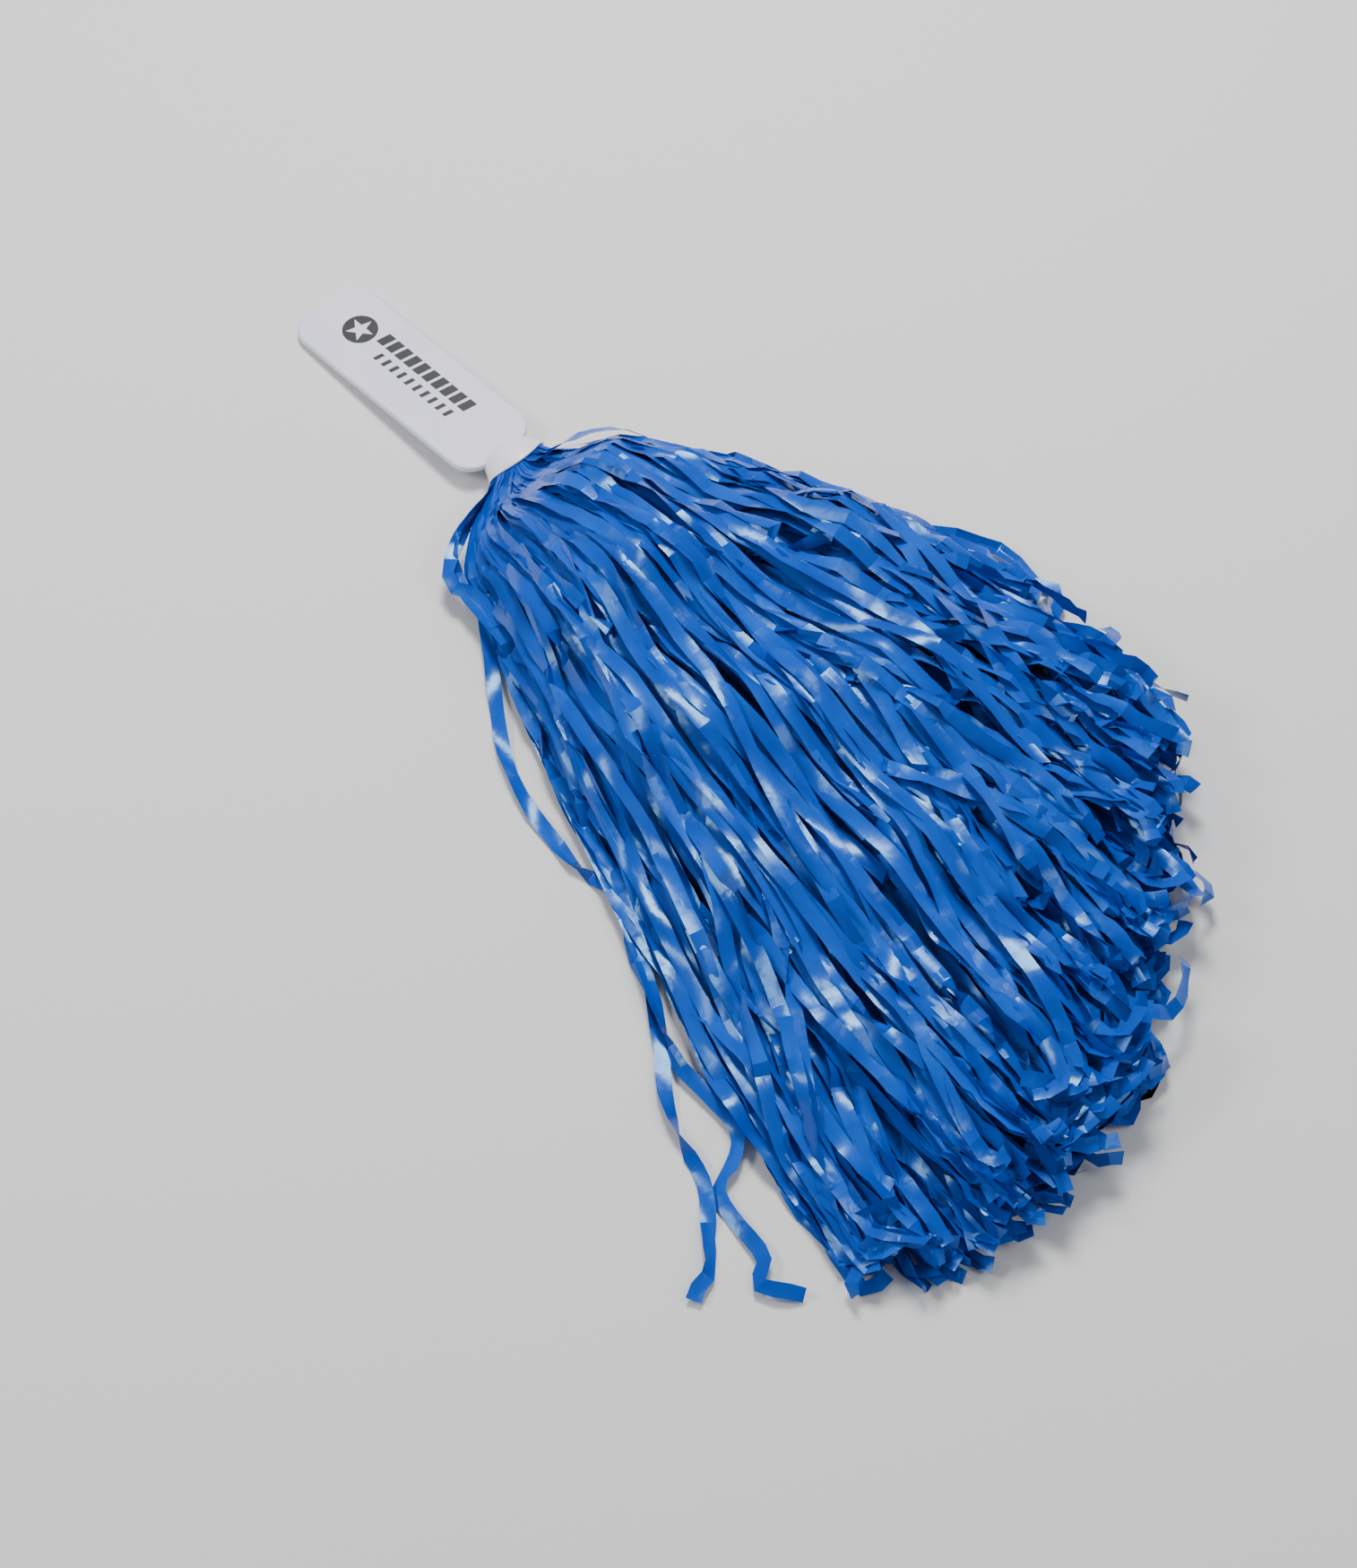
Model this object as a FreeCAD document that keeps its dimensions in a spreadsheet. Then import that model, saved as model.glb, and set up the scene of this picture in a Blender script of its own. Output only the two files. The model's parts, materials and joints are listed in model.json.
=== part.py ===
"""Cheer pom pom with a flat paddle handle, laid down with its streamers fanned out.

A moulded paddle ends in a tongue.  Twelve slit sheets of thin plastic film are wound round the tongue
by their uncut headers, taped, stapled through, and covered by a white oval collar.  In front of the
collar the streamers are limp: they bend up and down and from side to side at the collar's mouth.

Axes: +X runs from the paddle to the streamers, +Z is up, and the object lies on the plane z = 0.
The origin is the middle of its footprint.  Sizes are in millimetres.
"""
import FreeCAD, Part
import Sketcher
import os
from FreeCAD import Placement, Rotation, Vector

SECTORS = 4
LAYERS = 3
SHEETS = SECTORS * LAYERS

# Each staple hole's seam line is turned this far, so that it never runs along the flank of a wrap.
SEAM_TURN = 37
STATIONS = ["root", "swell", "body", "fan"]

# How high each boundary between two sectors stands, as a share of the pile's height at its crown.
CROWN = [0.45, 0.9, 1.0, 0.9, 0.45]

SIZES = {
    # The moulded paddle and the tongue that carries the streamers.
    "paddle_length": 114.0,
    "paddle_width": 38.0,
    "paddle_thickness": 3.2,
    "paddle_corner": 11.0,
    "paddle_edge": 1.2,
    "tongue_width": 10.0,
    "tongue_thickness": 2.8,
    "tongue_setback": 1.5,
    # The oval collar, pushed up against the paddle.
    "collar_length": 8.0,
    "collar_room": 0.27,
    "collar_flare_width": 8.0,
    "collar_flare_height": 1.5,
    "collar_wall": 1.2,
    "slot_clearance": 0.2,
    # The wound headers: room round the tongue, then one wrap to a sheet, then the tape.
    "winding_room": 1.5,
    "wrap_thickness": 0.24,
    "wrap_setback": 1.0,
    "wrap_back_gap": 0.3,
    "tape_thickness": 0.15,
    # The wire staples.
    "staple_wire": 0.6,
    "staple_span": 4.4,
    "staple_clearance": 0.05,
    "staple_first": 5.0,
    "staple_second": 2.6,
    # The soft neck of the bundle, and the point about which it flexes.
    "flex_distance": 11.0,
    "neck_width": 24.0,
    "neck_ground_gap": 0.25,
    # The pile of streamers, at four stations measured from the flex point.
    "root_reach": 12.0,
    "root_right": 42.0,
    "root_left": 26.0,
    "root_height": 36.0,
    "swell_reach": 50.0,
    "swell_right": 72.0,
    "swell_left": 48.0,
    "swell_height": 54.0,
    "body_reach": 120.0,
    "body_right": 100.0,
    "body_left": 82.0,
    "body_height": 58.0,
    "fan_reach": 240.0,
    "fan_right": 145.0,
    "fan_left": 110.0,
    "fan_height": 44.0,
    # The streamers' ends, sector by sector from the right (-Y) to the left (+Y).
    "end_reach_1": 342.0,
    "end_reach_2": 370.0,
    "end_reach_3": 372.0,
    "end_reach_4": 314.0,
    "end_height": 26.0,
    "flare_right": 0.55,
    "flare_left": 0.10,
    "lobe_gap": 0.8,
}

doc = FreeCAD.newDocument("cheer_pom_pom")
sheet = doc.addObject("Spreadsheet::Sheet", "sizes")


def cell(row, name, content):
    """Write one named cell of the spreadsheet."""
    sheet.set(f"A{row}", name)
    sheet.set(f"B{row}", content)
    sheet.setAlias(f"B{row}", name)


def bind(target, **expressions):
    """Tie properties of an object to the spreadsheet; a double underscore stands for a dot."""
    for path, expression in expressions.items():
        target.setExpression(path.replace("__", "."), expression)


def primitive(kind, name, **expressions):
    """Add one Part primitive whose sizes are tied to the spreadsheet."""
    made = doc.addObject(kind, name)
    bind(made, **expressions)
    return made


def boolean(kind, name, base, tool):
    """Add a Part::Cut of two objects, or a Part::MultiFuse of a list."""
    made = doc.addObject(kind, name)
    if kind == "Part::Cut":
        made.Base = base
        made.Tool = tool
    else:
        made.Shapes = [base] + tool
    return made


def origin_plane(body, role):
    """The body's own origin plane or axis that has this role."""
    return next(item for item in body.Origin.OriginFeatures if item.Role == role)


def polygon_sketch(body, name, plane, corners):
    """A closed polygon on one of the body's planes, each corner held by two bound distances."""
    sketch = body.newObject("Sketcher::SketchObject", name)
    sketch.AttachmentSupport = (origin_plane(body, plane), [""])
    sketch.MapMode = "FlatFace"
    count = len(corners)
    for index in range(count):
        start = Vector(index, index * index, 0)
        following = (index + 1) % count
        end = Vector(following, following * following, 0)
        sketch.addGeometry(Part.LineSegment(start, end), False)
    for index in range(count):
        joined = Sketcher.Constraint("Coincident", index, 2, (index + 1) % count, 1)
        sketch.addConstraint(joined)
    for index, (across, upward) in enumerate(corners):
        for kind, value in (("DistanceX", across), ("DistanceY", upward)):
            number = sketch.addConstraint(Sketcher.Constraint(kind, -1, 1, index, 1, 1.0))
            name_of_corner = f"corner_{index}_{kind[-1].lower()}"
            sketch.renameConstraint(number, name_of_corner)
            sketch.setExpression(f"Constraints.{name_of_corner}", value)
    return sketch


def rectangle(left, right, low, high):
    """The four corners of a rectangle, as expressions."""
    return [(left, low), (right, low), (right, high), (left, high)]


def on_handle(node):
    """Lay a piece of the handle down: its far end and its collar both touch the ground."""
    node.Placement = Placement(Vector(0, 0, 0), Rotation(Vector(0, 1, 0), -1))
    bind(
        node,
        Placement__Base__x="-sizes.middle_x",
        Placement__Base__y="-sizes.middle_y",
        Placement__Base__z="sizes.mouth_centre",
        Placement__Rotation__Angle="-sizes.tilt",
    )


def at_flex(node):
    """Put a piece of the streamers in front of the flex point, on the ground."""
    bind(
        node,
        Placement__Base__x="sizes.flex_distance - sizes.middle_x",
        Placement__Base__y="-sizes.middle_y",
    )


def fill_sheet():
    """Driving sizes first, then the few that follow from them."""
    row = 1
    for name, value in SIZES.items():
        cell(row, name, str(value))
        row += 1
    end = "(sizes.end_reach_{} - sizes.fan_reach)"
    wound = f"wrap_thickness * {SHEETS} + tape_thickness"
    around = "+ collar_room + collar_wall)"
    derived = {
        "inner_wrap_x": "=tongue_width / 2 + winding_room",
        "inner_wrap_z": "=tongue_thickness / 2 + winding_room",
        "bundle_half_x": f"=inner_wrap_x + {wound}",
        "bundle_half_z": f"=inner_wrap_z + {wound}",
        "collar_back_width": f"=2 * (bundle_half_x {around}",
        "collar_back_height": f"=2 * (bundle_half_z + staple_wire {around}",
        "collar_mouth_width": "=collar_back_width + collar_flare_width",
        "collar_mouth_height": "=collar_back_height + collar_flare_height",
        "neck_height": "=collar_mouth_height - 2 * neck_ground_gap",
        "mouth_centre": "=collar_mouth_height / 2",
        "handle_length": "=paddle_length + collar_length",
        "tilt": "=asin((mouth_centre - paddle_thickness / 2) / (handle_length - paddle_edge)) / 1deg",
        "far_end": "=(handle_length - paddle_edge) * cos(tilt * 1deg) + paddle_edge",
        "front_end": "=flex_distance + max(end_reach_1; end_reach_2; end_reach_3; end_reach_4)",
        "right_end": "=fan_right + flare_right * " + end.format(1).replace("sizes.", ""),
        "left_end": "=fan_left + flare_left * " + end.format(4).replace("sizes.", ""),
        "middle_x": "=(front_end - far_end) / 2",
        "middle_y": "=(left_end - right_end) / 2",
        "wrap_length": "=collar_length - collar_wall - wrap_back_gap - wrap_setback",
    }
    for name, formula in derived.items():
        cell(row, name, formula)
        row += 1
    doc.recompute()


def make_paddle(punched):
    """Flat rounded paddle in one piece with its tongue, which has holes for the staples."""
    body = doc.addObject("PartDesign::Body", "paddle_moulding")
    near = "-sizes.collar_length"
    far = "-sizes.handle_length"
    half = "sizes.paddle_width / 2"
    outline = polygon_sketch(body, "paddle_outline", "XY_Plane", rectangle(far, near, "-" + half, half))
    blade = body.newObject("PartDesign::Pad", "paddle_blade")
    blade.Profile = outline
    blade.Midplane = True
    bind(blade, Length="sizes.paddle_thickness")
    doc.recompute()

    upright = [
        f"Edge{number}"
        for number, edge in enumerate(blade.Shape.Edges, 1)
        if abs(edge.tangentAt(edge.FirstParameter).z) > 0.9
    ]
    corners = body.newObject("PartDesign::Fillet", "paddle_corners")
    corners.Base = (blade, upright)
    bind(corners, Radius="sizes.paddle_corner")
    doc.recompute()

    rim = [
        f"Edge{number}"
        for number, edge in enumerate(corners.Shape.Edges, 1)
        if edge.BoundBox.ZLength < 1e-6
    ]
    rounded = body.newObject("PartDesign::Fillet", "paddle_rim")
    rounded.Base = (corners, rim)
    bind(rounded, Radius="sizes.paddle_edge")

    half_tongue = "sizes.tongue_width / 2"
    root = "-sizes.collar_length - sizes.paddle_corner"
    stem = rectangle(root, "-sizes.tongue_setback", "-" + half_tongue, half_tongue)
    tongue = body.newObject("PartDesign::Pad", "paddle_tongue")
    tongue.Profile = polygon_sketch(body, "tongue_outline", "XY_Plane", stem)
    tongue.Midplane = True
    bind(tongue, Length="sizes.tongue_thickness")
    body.Tip = tongue
    return boolean("Part::Cut", "paddle_handle", body, punched)


def oval(name, half_width, half_height, distance):
    """An ellipse across the handle's axis, at a distance along it."""
    made = doc.addObject("Part::Ellipse", name)
    made.Placement = Placement(Vector(0, 0, 0), Rotation(Vector(1, 1, 1), 120))
    bind(made, MajorRadius=half_width, MinorRadius=half_height, Placement__Base__x=distance)
    return made


def make_collar():
    """Flared oval cup with a back wall, which the tongue passes through."""
    skins = []
    for name, wall, back in (("outer", "0", "0"), ("inner", "sizes.collar_wall", "sizes.collar_wall")):
        ovals = [
            oval(
                f"collar_{name}_back",
                f"sizes.collar_back_width / 2 - {wall}",
                f"sizes.collar_back_height / 2 - {wall}",
                f"-sizes.collar_length + {back}",
            ),
            oval(
                f"collar_{name}_mouth",
                f"sizes.collar_mouth_width / 2 - {wall}",
                f"sizes.collar_mouth_height / 2 - {wall}",
                "0",
            ),
        ]
        skin = doc.addObject("Part::Loft", f"collar_{name}")
        skin.Sections = ovals
        skin.Solid = True
        skins.append(skin)
    slot = primitive(
        "Part::Box",
        "collar_slot",
        Length="2 * sizes.collar_wall",
        Width="sizes.tongue_width + 2 * sizes.slot_clearance",
        Height="sizes.tongue_thickness + 2 * sizes.slot_clearance",
        Placement__Base__x="-sizes.collar_length - sizes.collar_wall / 2",
        Placement__Base__y="-sizes.tongue_width / 2 - sizes.slot_clearance",
        Placement__Base__z="-sizes.tongue_thickness / 2 - sizes.slot_clearance",
    )
    cup = boolean("Part::Cut", "collar_cup", *skins)
    return boolean("Part::Cut", "collar", cup, slot)


def make_staple_holes():
    """The four round holes that the staples' legs pass through."""
    holes = []
    for place in ("first", "second"):
        for side in ("-", ""):
            hole = primitive(
                "Part::Cylinder",
                f"staple_hole_{len(holes) + 1}",
                Radius="sizes.staple_wire / 2 + sizes.staple_clearance",
                Height="2 * sizes.mouth_centre",
                Placement__Base__x=f"-sizes.staple_{place}",
                Placement__Base__y=f"{side}sizes.staple_span / 2",
                Placement__Base__z="-sizes.mouth_centre",
            )
            hole.Placement = Placement(Vector(0, 0, 0), Rotation(Vector(0, 0, 1), SEAM_TURN))
            holes.append(hole)
    return boolean("Part::MultiFuse", "staple_holes", holes[0], holes[1:])


def make_winding(punched):
    """One oval wrap to each sheet's uncut header, and the tape over them."""
    plugs = []
    for number in range(SHEETS + 2):
        grown = f"sizes.wrap_thickness * {number}"
        if number == SHEETS + 1:
            grown = f"sizes.wrap_thickness * {SHEETS} + sizes.tape_thickness"
        edge = oval(
            f"wrap_edge_{number}",
            f"sizes.inner_wrap_x + {grown}",
            f"sizes.inner_wrap_z + {grown}",
            "-sizes.collar_length + sizes.collar_wall + sizes.wrap_back_gap",
        )
        plug = doc.addObject("Part::Extrusion", f"wrap_plug_{number}")
        plug.Base = edge
        plug.DirMode = "Custom"
        plug.Dir = Vector(1, 0, 0)
        plug.Solid = True
        bind(plug, LengthFwd="sizes.wrap_length")
        plugs.append(plug)

    wraps = []
    for number in range(1, SHEETS + 2):
        name = "header_tape" if number > SHEETS else f"sheet_{number:02d}_header"
        pierced = boolean("Part::Cut", f"{name}_pierced", plugs[number], punched)
        wraps.append(boolean("Part::Cut", name, pierced, plugs[number - 1]))
    return wraps


def make_staples():
    """Two wire staples: a crown over the tape, two legs, and their ends turned in underneath."""
    wires = []
    reach = "sizes.staple_span / 2"
    stand = "(sizes.bundle_half_z + sizes.staple_wire / 2)"
    for place in ("first", "second"):
        along = f"-sizes.staple_{place}"
        run = {"Radius": "sizes.staple_wire / 2", "Placement__Base__x": along}
        crown = primitive(
            "Part::Cylinder",
            f"staple_crown_{place}",
            Height="sizes.staple_span",
            Placement__Base__y="-" + reach,
            Placement__Base__z=stand,
            **run,
        )
        crown.Placement = Placement(Vector(0, 0, 0), Rotation(Vector(1, 0, 0), -90))
        pieces = [crown]
        for side in ("left", "right"):
            sign = "" if side == "left" else "-"
            leg = primitive(
                "Part::Cylinder",
                f"staple_leg_{place}_{side}",
                Height=f"2 * {stand}",
                Placement__Base__y=sign + reach,
                Placement__Base__z="-" + stand,
                **run,
            )
            foot = primitive(
                "Part::Cylinder",
                f"staple_foot_{place}_{side}",
                Height="sizes.staple_span * 0.4",
                Placement__Base__y=sign + reach,
                Placement__Base__z="-" + stand,
                **run,
            )
            turn = 90 if side == "left" else -90
            foot.Placement = Placement(Vector(0, 0, 0), Rotation(Vector(1, 0, 0), turn))
            pieces += [leg, foot]
            for height in (stand, "-" + stand):
                elbow = primitive(
                    "Part::Sphere",
                    f"staple_elbow_{place}_{side}_{'over' if height == stand else 'under'}",
                    Placement__Base__y=sign + reach,
                    Placement__Base__z=height,
                    **run,
                )
                pieces.append(elbow)
        wires.append(boolean("Part::MultiFuse", f"staple_{place}", pieces[0], pieces[1:]))
    return boolean("Part::MultiFuse", "staples", wires[0], wires[1:])


def make_neck():
    """The gathered neck of the bundle, where every streamer leaves the collar."""
    radius = "sizes.neck_height / 2"
    straight = "(sizes.neck_width - sizes.neck_height)"
    barrel = primitive(
        "Part::Cylinder", "neck_barrel", Radius=radius, Height=straight, Placement__Base__y=f"{straight} / 2"
    )
    barrel.Placement = Placement(Vector(0, 0, 0), Rotation(Vector(1, 0, 0), 90))
    ends = [
        primitive("Part::Sphere", f"neck_{side}", Radius=radius, Placement__Base__y=f"{sign}{straight} / 2")
        for side, sign in (("left", ""), ("right", "-"))
    ]
    neck = boolean("Part::MultiFuse", "bundle_throat", barrel, ends)
    at_flex(neck)
    bind(neck, Placement__Base__z="sizes.mouth_centre")
    return neck


def boundary_y(station, boundary, sector):
    """Where the boundary between two sectors runs, at a station along the pile."""
    share = f"* {boundary} / {SECTORS}"
    if station == "end":
        run = f"(sizes.end_reach_{sector} - sizes.fan_reach)"
        slope = f"((sizes.flare_left + sizes.flare_right) {share} - sizes.flare_right)"
        return f"{boundary_y('fan', boundary, sector)} + {slope} * {run}"
    spread = f"(sizes.{station}_left + sizes.{station}_right)"
    return f"{spread} {share} - sizes.{station}_right"


def level_z(station, level, boundary):
    """How high the top of a layer stands on a sector boundary."""
    return f"sizes.{station}_height * {CROWN[boundary]} * {level} / {LAYERS}"


def make_lobe(number):
    """The streamers of one sheet, as one lobe of the pile: a loft through five sections."""
    layer, sector = divmod(number - 1, SECTORS)
    body = doc.addObject("PartDesign::Body", f"sheet_{number:02d}_streamers")
    sections = []
    for station in STATIONS + ["end"]:
        corners = []
        for side, level in ((0, 0), (1, 0), (1, 1), (0, 1)):
            boundary = sector + side
            inward = "-" if side else "+"
            inset = f" {inward} sizes.lobe_gap / 2" if 0 < boundary < SECTORS else ""
            reached = layer + level
            lift = ""
            if 0 < reached < LAYERS:
                lift = f" {'-' if level else '+'} sizes.lobe_gap / 2"
            across = boundary_y(station, boundary, sector + 1) + inset
            corners.append((across, level_z(station, reached, boundary) + lift))
        section = polygon_sketch(body, f"sheet_{number:02d}_{station}", "YZ_Plane", corners)
        reach = f"sizes.end_reach_{sector + 1}" if station == "end" else f"sizes.{station}_reach"
        section.setExpression("AttachmentOffset.Base.z", reach)
        sections.append(section)
    lobe = body.newObject("PartDesign::AdditiveLoft", f"sheet_{number:02d}_lobe")
    lobe.Profile = sections[0]
    lobe.Sections = sections[1:]
    lobe.Ruled = True
    body.Tip = lobe
    return body


def check(nodes):
    """Stop if any object failed or any piece is not one sound shape."""
    for item in doc.Objects:
        if "Invalid" in item.State or "Error" in item.State:
            raise RuntimeError(f"{item.Name} failed: {item.State}")
    for node in nodes:
        if node.Shape.isNull() or not node.Shape.isValid() or not node.Shape.Solids:
            raise RuntimeError(f"{node.Label} has no valid solid")


def main():
    fill_sheet()
    punched = make_staple_holes()
    handle = [make_paddle(punched), make_collar(), make_staples()] + make_winding(punched)
    lobes = [make_lobe(number) for number in range(1, SHEETS + 1)]
    for node in handle:
        on_handle(node)
    for node in lobes:
        at_flex(node)
    nodes = handle + [make_neck()] + lobes
    doc.recompute()
    check(nodes)

    os.makedirs("parts", exist_ok=True)
    for node in nodes:
        node.Shape.exportStep(f"parts/{node.Label}.step")
        box = node.Shape.BoundBox
        print(
            f"{node.Label:24s} {node.Shape.Volume:12.1f} mm3"
            f"  x {box.XMin:8.2f} {box.XMax:8.2f}"
            f"  y {box.YMin:8.2f} {box.YMax:8.2f}"
            f"  z {box.ZMin:7.2f} {box.ZMax:7.2f}"
        )


main()
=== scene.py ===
# %% [markdown]
# # Cheer pom pom
# A white paddle handle holds a bundle of blue plastic streamers that has been laid down and has fanned out.
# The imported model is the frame: it says where the handle is and about which point the streamers flex.
# Everything made here is placed from it, in metres.

# %% Load the frame
import json
import math

import bpy
import numpy as np
from mathutils import Matrix, Vector


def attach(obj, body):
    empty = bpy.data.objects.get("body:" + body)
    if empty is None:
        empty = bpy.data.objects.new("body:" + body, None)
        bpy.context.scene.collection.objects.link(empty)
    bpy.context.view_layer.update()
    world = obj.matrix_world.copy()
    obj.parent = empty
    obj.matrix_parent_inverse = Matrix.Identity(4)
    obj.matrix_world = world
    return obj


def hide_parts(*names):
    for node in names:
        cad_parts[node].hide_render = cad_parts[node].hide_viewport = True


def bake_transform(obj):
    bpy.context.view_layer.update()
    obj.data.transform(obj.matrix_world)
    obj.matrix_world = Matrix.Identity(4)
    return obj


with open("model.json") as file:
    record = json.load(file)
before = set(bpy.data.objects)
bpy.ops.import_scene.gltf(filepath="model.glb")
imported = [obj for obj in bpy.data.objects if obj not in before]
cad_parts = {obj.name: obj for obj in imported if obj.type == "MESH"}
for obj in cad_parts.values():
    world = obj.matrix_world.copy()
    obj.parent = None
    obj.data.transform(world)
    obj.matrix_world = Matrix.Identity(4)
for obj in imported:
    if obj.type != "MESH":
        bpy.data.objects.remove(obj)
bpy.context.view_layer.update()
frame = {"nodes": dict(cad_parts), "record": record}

MM = 0.001
joint = frame["record"]["behaviour"]["joints"][0]
flex_point = Vector(joint["pos_m"])
print_face = frame["record"]["mounts"][0]

# %% [markdown]
# The handle lies at a slight tilt, because the thin paddle rests on its far edge and the thick collar rests
# on its rim. Pieces of the handle are easiest to model flat and square, along X from the collar's mouth, and
# then turned onto it by one matrix.

# %% Where the handle lies
FLEX_DISTANCE = 11.0
face_normal = Vector(print_face["axis"])
tilt = math.asin(-face_normal.x)
mouth = flex_point - Vector((FLEX_DISTANCE * MM, 0, 0))
on_handle = Matrix.Translation(mouth) @ Matrix.Rotation(-tilt, 4, "Y") @ Matrix.Scale(MM, 4)
print(f"mouth at {mouth[:]}, tilt {math.degrees(tilt):.2f} degrees")

# %% [markdown]
# Colours are picked as sRGB hex values, as on a colour chart, and Blender mixes light in linear values, so
# one function turns one into the other. Another adds a node with its settings and its links.


# %% Helpers for materials
def srgb(code):
    """A hex colour as linear red, green, blue and alpha."""
    parts = [int(code[place:place + 2], 16) / 255 for place in (1, 3, 5)]
    linear = [part / 12.92 if part <= 0.04045 else ((part + 0.055) / 1.055) ** 2.4 for part in parts]
    return (*linear, 1.0)


def add_node(material, kind, links=None, **settings):
    """Add one node. A setting is a property, or an input's value; links go into inputs."""
    node = material.node_tree.nodes.new(kind)
    for name, value in settings.items():
        if hasattr(node, name):
            setattr(node, name, value)
        else:
            node.inputs[name.replace("_", " ")].default_value = value
    for name, source in (links or {}).items():
        material.node_tree.links.new(source, node.inputs[name])
    return node


def new_material(name, **values):
    """A material with one Principled BSDF, and that shader, for nodes to be linked into."""
    material = bpy.data.materials.new(name)
    material.use_nodes = True
    shader = material.node_tree.nodes["Principled BSDF"]
    for socket, value in values.items():
        shader.inputs[socket.replace("_", " ")].default_value = value
    return material, shader


def plug(material, output, socket):
    """Link a node's output to an input."""
    material.node_tree.links.new(output, socket)


def colour_steps(material, factor, steps):
    """A colour ramp through (position, hex) steps."""
    ramp = add_node(material, "ShaderNodeValToRGB", {"Fac": factor})
    stops = ramp.color_ramp.elements
    stops[0].position, stops[0].color = steps[0][0], srgb(steps[0][1])
    stops[1].position, stops[1].color = steps[-1][0], srgb(steps[-1][1])
    for position, code in steps[1:-1]:
        stops.new(position).color = srgb(code)
    return ramp.outputs["Color"]


# %% [markdown]
# The streamers are soft PVC film, calendered smooth and then slit, so they are glossy. The film is thin and
# has been handled: it is crumpled a little all over, which breaks each highlight into patches. Its own UV
# map runs along every streamer in metres, so the crumples follow the film wherever it goes.


# %% Streamer film
def make_film():
    """Glossy blue film, patchy in colour and gloss, with crumples and creases."""
    # The film scatters some light inside itself, so even its highlights look blue.
    film, shader = new_material("pvc_film_calendered_and_slit", IOR=1.54, Specular_Tint=srgb("#A6E0FF"))
    uv = add_node(film, "ShaderNodeUVMap", uv_map="film").outputs["UV"]
    # Slow changes of thickness and dye, tens of millimetres long.
    along = add_node(film, "ShaderNodeMapping", {"Vector": uv}, Scale=(60, 22, 1)).outputs["Vector"]
    dye = add_node(film, "ShaderNodeTexNoise", {"Vector": along}, Scale=1.0, Detail=3.0).outputs["Fac"]
    steps = [(0.30, "#003B9C"), (0.5, "#0049B6"), (0.72, "#0658CA")]
    plug(film, colour_steps(film, dye, steps), shader.inputs["Base Color"])
    # Handling dulls the gloss in patches.
    worn = add_node(
        film, "ShaderNodeMapRange", {"Value": dye}, From_Min=0.3, From_Max=0.7, To_Min=0.17, To_Max=0.32
    )
    plug(film, worn.outputs["Result"], shader.inputs["Roughness"])
    # Crumples about 10 mm across, and sharper creases about 15 mm apart.
    crumple_map = add_node(film, "ShaderNodeMapping", {"Vector": uv}, Scale=(90, 110, 1)).outputs["Vector"]
    crumple = add_node(film, "ShaderNodeTexNoise", {"Vector": crumple_map}, Scale=1.0, Detail=2.0)
    crease_map = add_node(film, "ShaderNodeMapping", {"Vector": uv}, Scale=(60, 70, 1)).outputs["Vector"]
    crease = add_node(film, "ShaderNodeTexVoronoi", {"Vector": crease_map}, feature="F1", Scale=1.0)
    both = add_node(
        film,
        "ShaderNodeMath",
        {0: crumple.outputs["Fac"], 1: crease.outputs["Distance"]},
        operation="ADD",
    )
    bump = add_node(film, "ShaderNodeBump", {"Height": both.outputs[0]}, Strength=0.30, Distance=0.001)
    plug(film, bump.outputs["Normal"], shader.inputs["Normal"])
    return film


film = make_film()
print("film:", film.name)

# %% [markdown]
# The paddle is injection-moulded polypropylene: white with a faint cool tint, satin rather than glossy, with
# the very fine texture of a spark-eroded mould and slow flow marks. The collar is the same plastic, coloured
# a little lighter and warmer. The print is a flat black pad-printing ink.


# %% Handle plastics, ink, tape and wire
def make_plastic(name, light, shade, roughness):
    """Satin plastic: slow flow marks in its colour, scuffs in its gloss, and a fine mould texture."""
    plastic, shader = new_material(name, IOR=1.49)
    place = add_node(plastic, "ShaderNodeTexCoord").outputs["Object"]
    flow = add_node(plastic, "ShaderNodeTexNoise", {"Vector": place}, Scale=28.0, Detail=2.0).outputs["Fac"]
    plug(plastic, colour_steps(plastic, flow, [(0.35, shade), (0.65, light)]), shader.inputs["Base Color"])
    scuff = add_node(plastic, "ShaderNodeTexNoise", {"Vector": place}, Scale=260.0, Detail=4.0)
    dull = add_node(
        plastic,
        "ShaderNodeMapRange",
        {"Value": scuff.outputs["Fac"]},
        From_Min=0.35,
        From_Max=0.65,
        To_Min=roughness - 0.06,
        To_Max=roughness + 0.08,
    )
    plug(plastic, dull.outputs["Result"], shader.inputs["Roughness"])
    # Mould texture about 0.4 mm across, drawn coarser than the real 0.1 mm so that it shows.
    grain = add_node(plastic, "ShaderNodeTexNoise", {"Vector": place}, Scale=2500.0, Detail=1.0)
    height = grain.outputs["Fac"]
    bump = add_node(plastic, "ShaderNodeBump", {"Height": height}, Strength=0.12, Distance=0.0001)
    plug(plastic, bump.outputs["Normal"], shader.inputs["Normal"])
    return plastic


def make_ink():
    """Flat black ink, a little thinner in spots."""
    ink, shader = new_material("pad_printing_ink", IOR=1.5)
    place = add_node(ink, "ShaderNodeTexCoord").outputs["Object"]
    thin = add_node(ink, "ShaderNodeTexNoise", {"Vector": place}, Scale=900.0, Detail=3.0).outputs["Fac"]
    plug(ink, colour_steps(ink, thin, [(0.3, "#141417"), (0.75, "#26262B")]), shader.inputs["Base Color"])
    shader.inputs["Roughness"].default_value = 0.55
    return ink


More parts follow.
